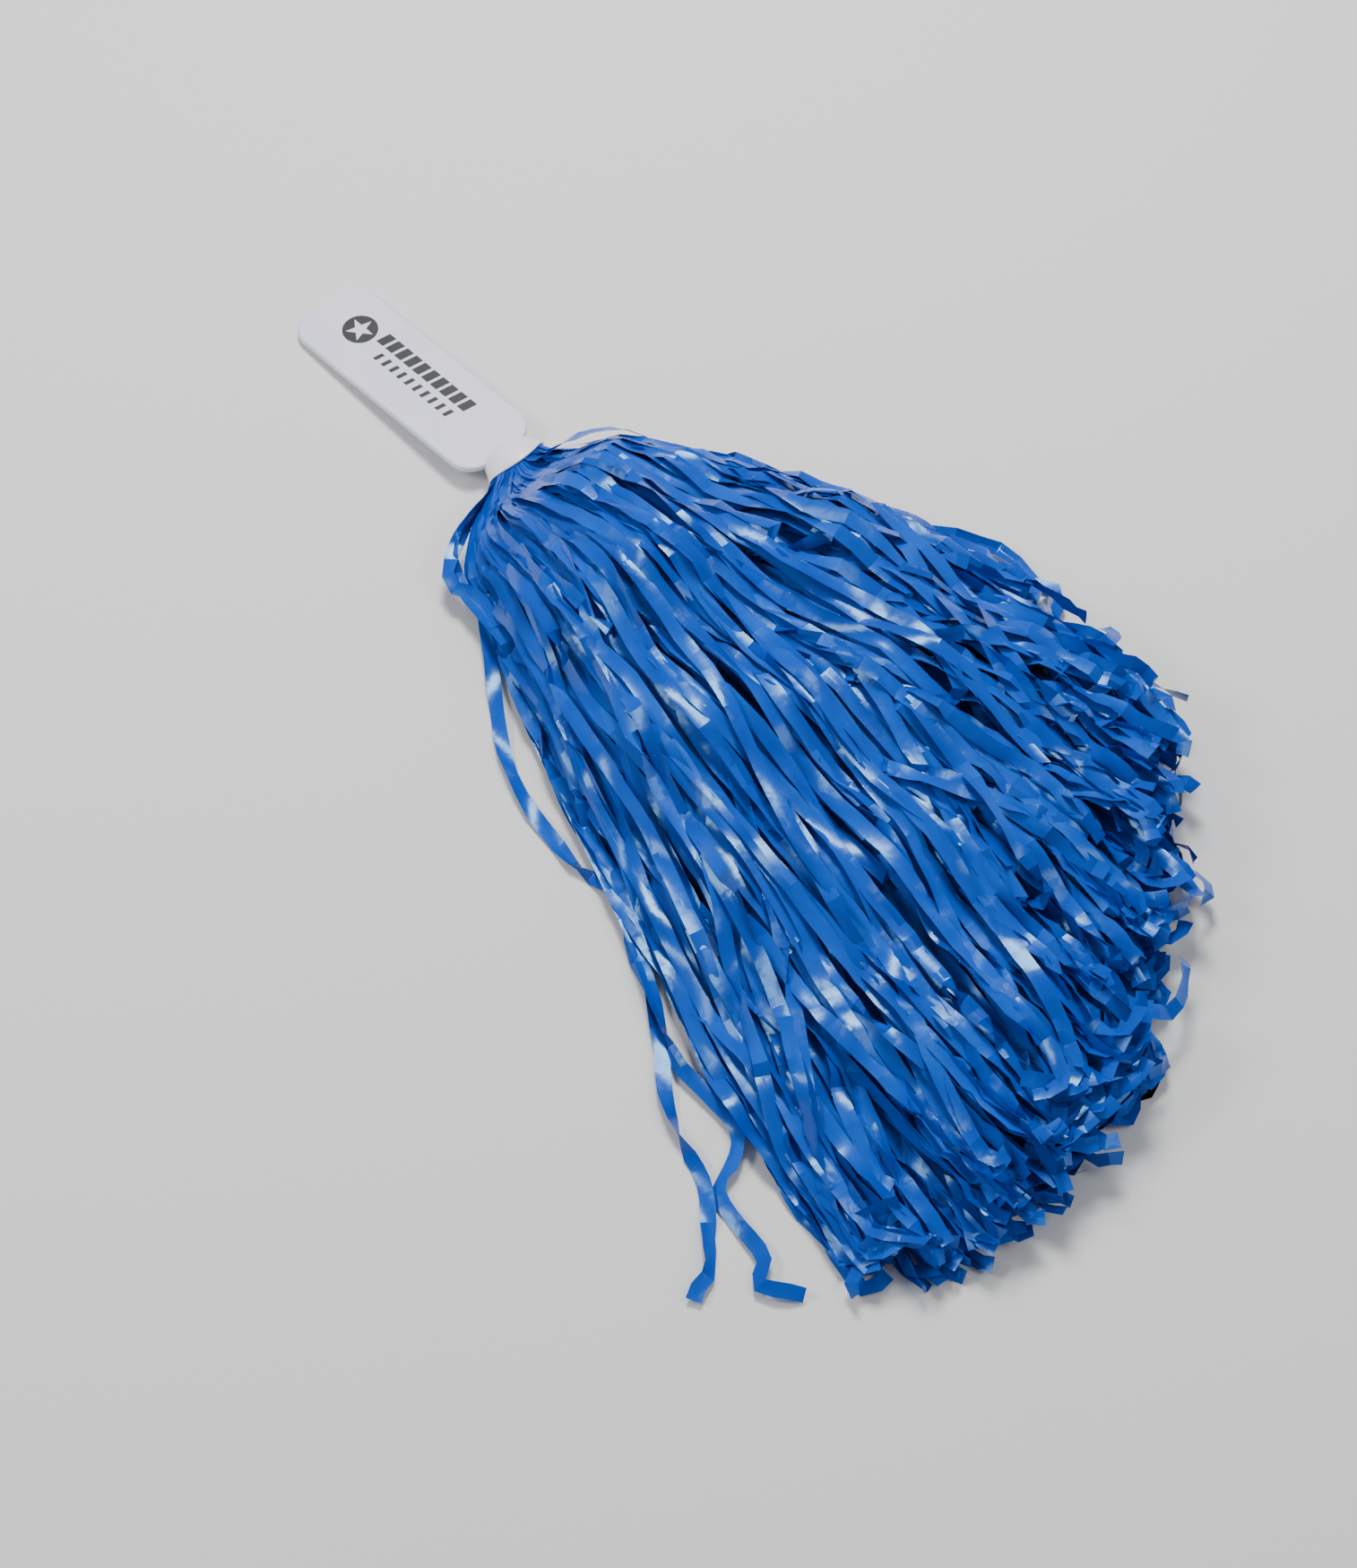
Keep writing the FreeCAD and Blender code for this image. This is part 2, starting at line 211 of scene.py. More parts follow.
def make_wire():
    """Bright drawn steel wire."""
    wire, shader = new_material("galvanised_staple_wire", Metallic=1.0)
    place = add_node(wire, "ShaderNodeTexCoord").outputs["Object"]
    drawn = add_node(wire, "ShaderNodeTexNoise", {"Vector": place}, Scale=1200.0, Detail=2.0).outputs["Fac"]
    plug(wire, colour_steps(wire, drawn, [(0.3, "#9A9CA0"), (0.7, "#C4C6C9")]), shader.inputs["Base Color"])
    shader.inputs["Roughness"].default_value = 0.32
    return wire


paddle_plastic = make_plastic("polypropylene_moulded_cool_white", "#E4E3F3", "#DBDAEE", 0.40)
collar_plastic = make_plastic("polypropylene_moulded_warm_white", "#F1E9F0", "#E9E0EA", 0.36)
tape_film = make_plastic("vinyl_tape", "#D9D8CF", "#CFCEC4", 0.5)
ink = make_ink()
staple_steel = make_wire()


def wear(node_name, material):
    """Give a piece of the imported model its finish."""
    slots = frame["nodes"][node_name].data.materials
    slots.clear()
    slots.append(material)


wear("paddle_handle", paddle_plastic)
wear("header_tape", tape_film)
wear("staples", staple_steel)
sheet_names = [f"sheet_{number:02d}" for number in range(1, 13)]
for name in sheet_names:
    wear(f"{name}_header", film)
for made in (paddle_plastic, collar_plastic, tape_film, ink, staple_steel):
    print("material:", made.name)

# %% [markdown]
# New hard pieces start from a primitive and are shaped in edit mode. Four helpers keep that short: two look
# after what is selected, one applies a modifier, and one puts the finished mesh onto the handle and parents
# it to the handle's body.


# %% Helpers for modelling
def deselect():
    """Leave edit mode and select nothing."""
    if bpy.context.object and bpy.context.object.mode != "OBJECT":
        bpy.ops.object.mode_set(mode="OBJECT")
    bpy.ops.object.select_all(action="DESELECT")


def select_faces(piece, test):
    """Select only the faces that pass the test, and stay in edit mode."""
    bpy.ops.object.mode_set(mode="EDIT")
    bpy.ops.mesh.select_mode(type="FACE")
    bpy.ops.mesh.select_all(action="DESELECT")
    bpy.ops.object.mode_set(mode="OBJECT")
    for face in piece.data.polygons:
        face.select = test(face)
    bpy.ops.object.mode_set(mode="EDIT")


def apply_modifier(piece, kind, **settings):
    """Add a modifier with these settings and apply it at once."""
    deselect()
    bpy.context.view_layer.objects.active = piece
    piece.select_set(True)
    modifier = piece.modifiers.new(kind.lower(), kind)
    for name, value in settings.items():
        setattr(modifier, name, value)
    bpy.ops.object.modifier_apply(modifier=modifier.name)


def finish_handle_piece(piece, name, material, smooth_angle=30):
    """Name a piece, turn its mesh onto the handle, and let it ride there."""
    deselect()
    bpy.context.view_layer.objects.active = piece
    piece.select_set(True)
    bpy.ops.object.shade_smooth_by_angle(angle=math.radians(smooth_angle))
    piece.data.transform(on_handle @ piece.matrix_world)
    piece.matrix_world = Matrix.Identity(4)
    piece.name = piece.data.name = name
    piece.data.materials.clear()
    piece.data.materials.append(material)
    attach(piece, "handle")
    return piece


# %% [markdown]
# The collar is a short oval cuff. It is flat enough to lie in the paddle's plane, narrow where it meets the
# paddle, and flared at its mouth, with a soft shoulder between. A cylinder is cut into rings, each ring is
# scaled to its own oval and bowed, the mouth is inset and pushed in to leave a thin wall, and a bevel rounds
# the lips.

# %% Collar
# Each ring: its place along the handle, half its width and half its height.
COLLAR_RINGS = [
    (-8.0, 10.2, 7.3),
    (-7.2, 11.1, 8.0),
    (-5.0, 12.1, 8.3),
    (-2.4, 13.6, 8.55),
    (0.0, 15.0, 8.75),
]
COLLAR_LENGTH = 8
COLLAR_WALL = 1.2
# The hollow behind the lip: how deep it goes, and how much narrower its bottom is.
HOLLOW_DEPTH = 6.4
HOLLOW_TAPER = (1, 0.74, 0.92)
LIP_ROUNDING = 0.4
# The lip bows outwards in the middle; each ring takes its share of the bow.
LIP_BOW = 5.0


def make_collar():
    """The flared oval cuff, modelled square and then turned onto the handle."""
    deselect()
    bpy.ops.mesh.primitive_cylinder_add(
        vertices=64,
        radius=1,
        depth=COLLAR_LENGTH,
        location=(-COLLAR_LENGTH / 2, 0, 0),
        rotation=(0, math.pi / 2, 0),
    )
    collar = bpy.context.object
    bpy.ops.object.transform_apply(location=True, rotation=True, scale=True)
    bpy.ops.object.mode_set(mode="EDIT")
    for distance, _, _ in COLLAR_RINGS[1:-1]:
        bpy.ops.mesh.select_all(action="SELECT")
        bpy.ops.mesh.bisect(plane_co=(distance, 0, 0), plane_no=(1, 0, 0))
    bpy.ops.object.mode_set(mode="OBJECT")
    for corner in collar.data.vertices:
        _, half_width, half_height = min(COLLAR_RINGS, key=lambda ring: abs(ring[0] - corner.co.x))
        bow = LIP_BOW * (1 - corner.co.y**2) * ((corner.co.x + COLLAR_LENGTH) / COLLAR_LENGTH) ** 2
        corner.co.x += bow
        corner.co.y *= half_width
        corner.co.z *= half_height
    select_faces(collar, lambda face: face.normal.x > 0.3 and len(face.vertices) > 4)
    bpy.ops.mesh.inset(thickness=COLLAR_WALL)
    bpy.ops.mesh.extrude_region_move(TRANSFORM_OT_translate={"value": (-HOLLOW_DEPTH, 0, 0)})
    bpy.ops.transform.resize(value=HOLLOW_TAPER)
    bpy.ops.object.mode_set(mode="OBJECT")
    apply_modifier(
        collar,
        "BEVEL",
        width=LIP_ROUNDING,
        segments=3,
        limit_method="ANGLE",
        angle_limit=math.radians(40),
    )
    return finish_handle_piece(collar, "collar_cuff", collar_plastic, 35)


collar_cuff = make_collar()
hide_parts("collar")
print("collar faces", len(collar_cuff.data.polygons))

# %% [markdown]
# The paddle's face carries a pad print. Here it is a plain badge, a disc with a star left open in it, and
# two rows of slanted bars. Ink has almost no thickness, so each shape is a plate a few hundredths of a
# millimetre high.

# %% Print on the paddle
INK_HEIGHT = 0.04
# Each plate starts just below the paddle's face, so that no gap shows under it.
INK_SUNK = 0.01
FACE_HEIGHT = 1.6


def print_plate(corners, name):
    """A flat printed shape: a filled outline, given the height of the ink."""
    deselect()
    bpy.ops.mesh.primitive_circle_add(vertices=len(corners), radius=1, fill_type="NGON")
    plate = bpy.context.object
    for corner, (along, across) in zip(plate.data.vertices, corners):
        corner.co = (along, across, FACE_HEIGHT - INK_SUNK)
    bpy.ops.object.mode_set(mode="EDIT")
    bpy.ops.mesh.select_all(action="SELECT")
    bpy.ops.mesh.extrude_region_move(TRANSFORM_OT_translate={"value": (0, 0, INK_HEIGHT)})
    bpy.ops.mesh.select_all(action="SELECT")
    bpy.ops.mesh.normals_make_consistent(inside=False)
    bpy.ops.object.mode_set(mode="OBJECT")
    plate.name = name
    return plate


def star_points(centre, outer, inner, turn):
    """Ten corners of a five-pointed star."""
    points = []
    for step in range(10):
        reach = inner if step % 2 else outer
        angle = turn + step * math.pi / 5
        points.append((centre[0] + reach * math.cos(angle), centre[1] + reach * math.sin(angle)))
    return points


def disc_points(centre, radius, count=72):
    """Corners of a round disc."""
    turns = [2 * math.pi * step / count for step in range(count)]
    return [(centre[0] + radius * math.cos(turn), centre[1] + radius * math.sin(turn)) for turn in turns]


BADGE = (-99.5, 2.0)
DISC_RADIUS = 7.6
STAR_OUTER = 6.2
STAR_INNER = 2.5
# The star cuts right through the disc, so it stands out this far on both sides.
CUTTER_REACH = 0.2
disc = print_plate(disc_points(BADGE, DISC_RADIUS), "badge")
star = print_plate(star_points(BADGE, STAR_OUTER, STAR_INNER, math.radians(90)), "star_cutter")
for corner in star.data.vertices:
    corner.co.z = FACE_HEIGHT + (CUTTER_REACH if corner.co.z > FACE_HEIGHT else -CUTTER_REACH)
apply_modifier(disc, "BOOLEAN", operation="DIFFERENCE", object=star, solver="EXACT")
bpy.data.objects.remove(star)
badge = finish_handle_piece(disc, "printed_badge", ink)

BAR_LEAN = 0.2
BAR_ROWS = {
    # name: start and end along the paddle, middle across it, height, how many bars, and how much of each
    # bar's pitch is inked
    "printed_bars_wide": (-90.0, -34.0, 5.8, 6.6, 10, 0.74),
    "printed_bars_narrow": (-84.0, -36.0, -2.4, 4.4, 10, 0.42),
}


def print_bars(name, start, end, middle, tall, count, inked):
    """One row of short slanted bars, joined into one piece."""
    pitch = (end - start) / count
    bars = []
    for order in range(count):
        left = start + order * pitch
        right = left + inked * pitch
        low, high = middle - tall / 2, middle + tall / 2
        lean = BAR_LEAN * tall
        corners = [(left, low), (right, low), (right + lean, high), (left + lean, high)]
        bars.append(print_plate(corners, name))
    deselect()
    for bar in bars:
        bar.select_set(True)
    bpy.context.view_layer.objects.active = bars[0]
    bpy.ops.object.join()
    finish_handle_piece(bars[0], name, ink)


for name, sizes in BAR_ROWS.items():
    print_bars(name, *sizes)
print("print:", badge.name, *BAR_ROWS)

# %% [markdown]
# The streamers are the object's main soft good. Twelve sheets of film are slit into 42 streamers each, so
# there are 504. Modelling them by hand is hopeless, and a hair system gives round threads, so each one is
# laid as a thin strip along a path that a few rules work out: it leaves the collar's oval mouth, follows its
# own line through the fan, wavers a little, keeps its place in the height of the pile, and curls at its end.
# Lengths here are in millimetres from the middle of the collar's mouth, with the ground at height 0.

# %% The fan's outline and the pile's height
STREAMERS_PER_SHEET = 42
STREAMER_LENGTH = 406.0
STREAMER_WIDTH = 6.0
FILM_SHOWN = 0.10
FULL_TURN = 6.28
# Distance along +X, then how far the fan reaches to the right (-Y) and left (+Y), and how high the pile is.
STATIONS = np.array([0, 5, 12, 25, 45, 80, 125, 175, 230, 290, 345, 420], float)
RIGHT = np.array([11, 18, 30, 47, 56, 72, 90, 103, 121, 139, 150, 157], float)
LEFT = np.array([11, 13, 18, 30, 46, 68, 89, 107, 117, 124, 129, 134], float)
PILE = np.array([16, 20, 28, 39, 50, 57, 57, 53, 47, 40, 34, 28], float)
# How far from the mouth the streamers' ends lie, from the right edge of the fan to the left.
END_SIDE = np.array([-1.0, -0.7, -0.5, -0.3, -0.1, 0.2, 0.4, 0.6, 0.8, 1.0])
END_REACH = np.array([405, 394, 386, 371, 361, 340, 322, 308, 297, 266], float)
EVERY_MM = np.arange(0, 421)
TABLE_END = 418.0


def smooth_table(values):
    """A smooth curve through the stations' values, read off at every millimetre."""
    slopes = np.gradient(values, STATIONS)
    cell = np.clip(np.searchsorted(STATIONS, EVERY_MM, side="right") - 1, 0, len(STATIONS) - 2)
    span = STATIONS[cell + 1] - STATIONS[cell]
    t = (EVERY_MM - STATIONS[cell]) / span
    from_start = (2 * t**3 - 3 * t**2 + 1) * values[cell] + (t**3 - 2 * t**2 + t) * span * slopes[cell]
    from_end = (3 * t**2 - 2 * t**3) * values[cell + 1] + (t**3 - t**2) * span * slopes[cell + 1]
    return (from_start + from_end).tolist()


RIGHT_TABLE = smooth_table(RIGHT)
LEFT_TABLE = smooth_table(LEFT)
PILE_TABLE = smooth_table(PILE)
print("fan width", round(max(RIGHT_TABLE) + max(LEFT_TABLE)), "pile height", round(max(PILE_TABLE)))


def read(table, along):
    """A table's value between two whole millimetres."""
    spot = min(max(along, 0.0), TABLE_END)
    cell = int(spot)
    return table[cell] + (spot - cell) * (table[cell + 1] - table[cell])


def line_of(side, along):
    """Where the fan's line for this side (-1 right edge, 1 left edge) is at a distance."""
    right, left = read(RIGHT_TABLE, along), read(LEFT_TABLE, along)
    return (side + 1) / 2 * (left + right) - right


def crown(side):
    """1 in the middle of the fan, falling away to 0 at both edges."""
    return (1 - side**2.6) ** 0.65


def pile_height(along, across):
    """How high the pile stands over this spot: highest in the middle, low at both edges, with lumps."""
    right, left = read(RIGHT_TABLE, along), read(LEFT_TABLE, along)
    side = min(abs(2 * (across + right) / (left + right) - 1), 1.0)
    lumps = 1 + 0.07 * math.sin(along / 31 + across / 17) + 0.06 * math.sin(along / 13 - across / 23)
    return read(PILE_TABLE, along) * (0.14 + 0.86 * crown(side)) * lumps


# %% [markdown]
# Every streamer has the same length, so its path is walked in steps whose lengths are fixed: each step turns
# the heading towards the streamer's own line in the fan, adds the waver, and then finds the height. The
# mouth needs short steps because the film bends hard there. A streamer whose end lies short of its full
# length buckles up and down on its way and is doubled back once inside the pile. Its last few centimetres
# curl.

# %% One streamer's path
STEPS = np.array([4.0] * 10 + [7.0] * 12 + [9.5] * 18 + [5.5] * 20)
STEPS *= STREAMER_LENGTH / STEPS.sum()
MOUTH_HALF = (13.0, 7.3)
MOUTH_HEIGHT = mouth.z / MM
START = -2.0
# The lowest a path may lie, and the steepest it may climb, as a share of the step.
LOWEST = 0.5
STEEPEST = 0.75
# Streamers leave the mouth level, and take their place in the pile over this distance.
LEVEL_UNTIL = 5
RISE_LENGTH = 36
# Waver in degrees: at the right edge, and what is added towards the left.
WAVER = 4.2
WAVER_LEFT = 4.5
# How far a streamer drifts off its line, in half widths of the fan; a few drift much further.
DRIFT = 0.25
WILD_DRIFT = 0.8
WILD_SHARE = 0.2
REACH_SPREAD = 7
# Where spare length goes: buckles, and one fold somewhere along the reach, pushed down into the pile.
BUCKLE_LENGTH = (27, 44)
LAID_SHARE = 0.955
LEAST_TO_FOLD = 24
FOLD_PLACE = (0.28, 0.86)
NEVER = 1000.0
FOLD_BIAS = 0.8
FOLD_SINK = 0.62
# The loose end: its length, its turn in degrees per millimetre, its lift, and its unevenness in degrees.
CURL_LENGTH = 36
CURL_TURN = (0.1, 1.5)
CURL_LIFT = (-4, 9)
CURL_UNEVEN = 7
# A guide longer than this leads its streamer to the very end.
GUIDED_TO_END = 330
SHARPEST_TURN = 1.5


def ease(value):
    """A smooth step from 0 to 1."""
    value = min(max(value, 0.0), 1.0)
    return value * value * (3 - 2 * value)


def waver(rng, strength):
    """A slow random wave along the streamer, with small kinks: degrees at a distance along it."""
    waves = [
        (rng.uniform(70, 260), rng.uniform(0, FULL_TURN), strength * rng.uniform(0.3, 1.0))
        for _ in range(4)
    ]
    kinks = [(rng.uniform(20, STREAMER_LENGTH), rng.normal(0, 1.6 * strength)) for _ in range(5)]

    def at(distance):
        total = sum(size * math.sin(distance / length * FULL_TURN + phase) for length, phase, size in waves)
        return total + sum(turn * math.exp(-abs(distance - place) / 22) for place, turn in kinks)

    return at


def smooth_path(guide):
    """A guide's points as a smooth curve: lengths along it, and its points."""
    guide = np.array(guide, float)
    slopes = np.gradient(guide, axis=0)
    parts = []
    for start, end, slope_start, slope_end in zip(guide[:-1], guide[1:], slopes[:-1], slopes[1:]):
        t = np.linspace(0, 1, 12, endpoint=False)[:, None]
        parts.append(
            (2 * t**3 - 3 * t**2 + 1) * start
            + (t**3 - 2 * t**2 + t) * slope_start
            + (3 * t**2 - 2 * t**3) * end
            + (t**3 - t**2) * slope_end
        )
    points = np.concatenate([*parts, guide[-1:]])
    lengths = np.concatenate([[0], np.cumsum(np.linalg.norm(np.diff(points, axis=0), axis=1))])
    return lengths, points


def turn_between(heading, wanted, bias=0.0):
    """The turn from one heading to another; the bias settles which way round a turn right back goes."""
    return (wanted - heading - bias + math.pi) % (2 * math.pi) - math.pi + bias


def walk(rng, side, level, guide=None):
    """The path of one streamer: points, and the direction of its width at the mouth."""
    angle = math.atan2((2 * level - 1) * 1.1, side)
    depth = min(0.97, max(0.35, max(abs(side), abs(2 * level - 1)) ** 0.6))
    across = MOUTH_HALF[0] * depth * math.cos(angle)
    start_height = MOUTH_HEIGHT + MOUTH_HALF[1] * depth * math.sin(angle)
    root_side = np.array([0.0, -MOUTH_HALF[0] * math.sin(angle), MOUTH_HALF[1] * math.cos(angle)])
    root_side /= np.linalg.norm(root_side)
    point = np.array([START, across, start_height])
    points = [point]
    guide_lengths, guide_points = smooth_path([point, *guide]) if guide else ([0.0], None)
    wave = waver(rng, WAVER + WAVER_LEFT * max(side, 0))
    drift = rng.normal(0, WILD_DRIFT if rng.uniform() < WILD_SHARE else DRIFT)
    reach = np.interp(side + 0.75 * drift, END_SIDE, END_REACH) + rng.normal(0, REACH_SPREAD)
    crinkle = waver(rng, 1.0)
    buckle_height = rng.uniform(0.2, 0.9) + 1.9 * min(max(side + 0.1, 0), 0.8) * rng.uniform(0.6, 1.2)
    buckle_length = rng.uniform(*BUCKLE_LENGTH)
    spare = STREAMER_LENGTH * LAID_SHARE - reach
    fold_at = rng.uniform(*FOLD_PLACE) * reach if spare > LEAST_TO_FOLD else NEVER
    folded = 0.0
    inwards = -math.copysign(FOLD_BIAS, side)
    sunk = 1.0
    curl_turn = math.copysign(rng.uniform(*CURL_TURN), -side if rng.uniform() < 0.6 else side)
    curl_lift = rng.uniform(*CURL_LIFT)
    travelled = 0.0
    curled = 0.0
    heading = 0.0
    for step in STEPS:
        travelled += step
        if guide_lengths[-1] > GUIDED_TO_END and travelled >= guide_lengths[-1]:
            # A stray that is guided to its end stops there, as if its slack lay hidden under the pile.
            break
        if travelled < guide_lengths[-1]:
            before = point
            point = np.array([
                np.interp(travelled, guide_lengths, guide_points[:, axis]) for axis in range(3)
            ])
            heading = math.atan2(point[1] - before[1], point[0] - before[0])
            points.append(point)
            continue
        # Turn towards the streamer's own line, which drifts with the distance.
        here = point[0]
        aim = min(max(side + drift * here / 380, -1.0), 1.0)
        target = line_of(aim, here)
        slope = (line_of(aim, here + 3) - target) / 3
        wanted = math.atan2(slope + 0.018 * (target - point[1]), 1.0)
        wanted += math.radians(wave(travelled)) * ease(here / 40)
        distance = math.hypot(point[0], point[1])
        bias = -inwards if folded else 0.0
        if distance > fold_at and folded < spare / 2:
            folded += step
            sunk = FOLD_SINK
            bias = inwards
            wanted += math.pi
        elif sunk < 1:
            sunk = min(1.0, sunk + 0.05)
        if distance > reach - CURL_LENGTH or curled > 0:
            # The loose end curls, and is kept from straying beyond the fan's outline.
            curled += step
            strength = ease(curled / 30)
            uneven = math.radians(rng.normal(0, CURL_UNEVEN)) * strength
            heading += math.radians(curl_turn * step * strength) + uneven
            edge = abs(2 * (point[1] - line_of(-1, here)) / (line_of(1, here) - line_of(-1, here)) - 1)
            beyond = max(ease((distance - reach + 16) / 20), ease((edge - 0.88) / 0.12))
            inward = math.atan2(-15 - point[1], 0.6 * reach - point[0])
            heading += 0.5 * beyond * turn_between(heading, inward)
        else:
            heading += min(max(turn_between(heading, wanted, bias), -SHARPEST_TURN), SHARPEST_TURN)
        shiver = rng.normal(0, 0.5 + 0.6 * ease(curled / 30)) * ease(here / 30)
        lift = curl_lift * ease(curled / 60) + shiver

        def height_at(spot):
            buckle = buckle_height * math.sin(travelled / buckle_length * FULL_TURN)
            in_pile = sunk * level * pile_height(spot[0], spot[1])
            laid = 0.8 + in_pile + 0.9 * crinkle(travelled) + buckle + lift
            share = ease((spot[0] - LEVEL_UNTIL) / RISE_LENGTH)
            leaving = start_height + 0.2 * max(spot[0] - LEVEL_UNTIL, 0)
            return max(LOWEST, (1 - share) * leaving + share * laid)

        # The step keeps its length: what it climbs is taken off what it covers on the flat.
        flat_step = step
        for _ in range(2):
            spot = point[:2] + flat_step * np.array([math.cos(heading), math.sin(heading)])
            rise = height_at(spot) - point[2]
            rise = min(max(rise, -STEEPEST * step), STEEPEST * step)
            flat_step = math.sqrt(step**2 - rise**2)
        point = np.array([spot[0], spot[1], max(LOWEST, point[2] + rise)])
        points.append(point)
    return np.array(points), root_side


print("steps to a streamer", len(STEPS), "total", round(float(STEPS.sum()), 1), "mm")

# %% [markdown]
# A path becomes a strip of film. At each point the strip's width lies across the path and along the slope of
# the pile, then leans with a slow random roll, and about every second streamer turns right over at least
# once. The section is a shallow roof, so that a highlight runs along one flank as it does on real film, and
# it has a top and an underside that meet at both edges.


# %% From a path to a strip
# How likely a streamer is to turn right over never, once or twice.
TURN_OVER_ODDS = [0.45, 0.4, 0.15]
LOOSE_LENGTH = 90
# The strip twists from the mouth's oval to its own lie over this distance.
UNWIND_LENGTH = 32
# Half the distance over which the pile's slope is felt, and the height at which a strip follows it fully.
SLOPE_PROBE = 4
SLOPE_HEIGHT = 55
# How high the roof of the section is, and the lowest that any corner may lie.
CUP_HEIGHT = (0.15, 0.75)
LOWEST_CORNER = 0.1
# Each streamer's UV map is shifted by this much from the last, so that no two are crumpled alike.
UV_SHIFT = (0.0137, 0.031)
SMOOTH_BELOW = math.radians(24)


def roll_along(rng, count):
    """How far the strip is turned about its own path at each point, in radians."""
    distance = np.concatenate([[0], np.cumsum(STEPS)])[:count]
    roll = np.zeros(count)
    for _ in range(3):
        length = rng.uniform(35, 140)
        size = math.radians(rng.uniform(6, 24))
        roll += size * np.sin(distance / length * FULL_TURN + rng.uniform(0, FULL_TURN))
    loose = np.clip((distance - STREAMER_LENGTH + LOOSE_LENGTH) / 60, 0, 1)
    roll += np.radians(rng.normal(0, 1, count) * (6 + 5 * loose))
    roll += loose * math.radians(rng.normal(0, 45))
    for _ in range(rng.choice([0, 1, 2], p=TURN_OVER_ODDS)):
        place, length = rng.uniform(40, STREAMER_LENGTH), rng.uniform(18, 45)
        turned = np.clip((distance - place) / length, 0, 1)
        roll += rng.choice([-1, 1]) * math.pi * turned * turned * (3 - 2 * turned)
    return roll * np.clip(distance / 30, 0, 1)


def strip(rng, points, root_side):
    """Corners of the strip, four to a station: left edge, top, right edge, underside."""
    tangents = np.gradient(points, axis=0)
    tangents /= np.linalg.norm(tangents, axis=1)[:, None]
    level_side = np.cross(np.array([0, 0, 1.0]), tangents)
    level_side /= np.maximum(np.linalg.norm(level_side, axis=1), 1e-6)[:, None]
    slope = []
    for (x, y, _), (side_x, side_y, _) in zip(points, level_side):
        left = pile_height(x + SLOPE_PROBE * side_x, y + SLOPE_PROBE * side_y)
        right = pile_height(x - SLOPE_PROBE * side_x, y - SLOPE_PROBE * side_y)
        slope.append((left - right) / (2 * SLOPE_PROBE))
    level_side[:, 2] += np.array(slope) * np.clip(points[:, 2] / SLOPE_HEIGHT, 0, 1)
    if level_side[0] @ root_side < 0:
        root_side = -root_side
    share = np.array([ease((x + 1) / UNWIND_LENGTH) for x in points[:, 0]])[:, None]
    sides = root_side * (1 - share) + level_side * share
    sides -= tangents * np.sum(sides * tangents, axis=1)[:, None]
    sides /= np.linalg.norm(sides, axis=1)[:, None]
    ups = np.cross(tangents, sides)
    roll = roll_along(rng, len(points))[:, None]
    across = sides * np.cos(roll) + ups * np.sin(roll)
    out = np.cross(tangents, across)
    half = STREAMER_WIDTH / 2
    cup_height = rng.choice([-1, 1]) * rng.uniform(*CUP_HEIGHT)
    cup = cup_height * np.sin(np.linspace(0, rng.uniform(2, 9), len(points)))[:, None]
    corners = np.stack(
        [
            points - across * half,
            points + out * (cup + FILM_SHOWN / 2),
            points + across * half,
            points + out * (cup - FILM_SHOWN / 2),
        ],
        axis=1,
    )
    corners[:, :, 2] = np.maximum(corners[:, :, 2], LOWEST_CORNER)
    return corners


def strips_to_piece(name, strips):
    """Join strips into one mesh piece with a UV map that runs along each strip in metres."""
    corners, faces, uvs = [], [], []
    for order, (strip_corners, distances) in enumerate(strips):
        base = len(corners)
        corners.extend(strip_corners.reshape(-1, 3))
        count = len(strip_corners)
        shift = (UV_SHIFT[0] * order, UV_SHIFT[1] * order)
        across = (0.0, STREAMER_WIDTH / 2, STREAMER_WIDTH, STREAMER_WIDTH / 2)

        def uv(station, corner):
            return across[corner] * MM + shift[0], distances[station] * MM + shift[1]

        for station in range(count - 1):
            for corner in range(4):
                following = (corner + 1) % 4
                ring = [
                    (station, corner),
                    (station, following),
                    (station + 1, following),
                    (station + 1, corner),
                ]
                faces.append([base + 4 * s + c for s, c in ring])
                uvs.extend(uv(s, c) for s, c in ring)
        for station, order_of in ((0, (3, 2, 1, 0)), (count - 1, (0, 1, 2, 3))):
            faces.append([base + 4 * station + c for c in order_of])
            uvs.extend(uv(station, c) for c in order_of)
    mesh = bpy.data.meshes.new(name)
    world = np.array(corners) * MM + np.array([mouth.x, mouth.y, 0])
    mesh.from_pydata(world.tolist(), [], faces)
    layer = mesh.uv_layers.new(name="film")
    layer.data.foreach_set("uv", np.array(uvs, np.float32).ravel())
    piece = bpy.data.objects.new(name, mesh)
    bpy.context.collection.objects.link(piece)
    mesh.materials.append(film)
    deselect()
    bpy.context.view_layer.objects.active = piece
    piece.select_set(True)
    bpy.ops.object.shade_smooth_by_angle(angle=SMOOTH_BELOW)
    return piece


# %% [markdown]
# A few streamers do not lie like the rest, and they are what the eye picks out first: loops that stand off
# the pile beside the collar, strays that have slipped off its right edge, and an end that is folded over.
# Rules can't find such courses, so each one is led along a guide, a list of the points where that streamer
# lies. It takes the place of a streamer in one of the sheets.

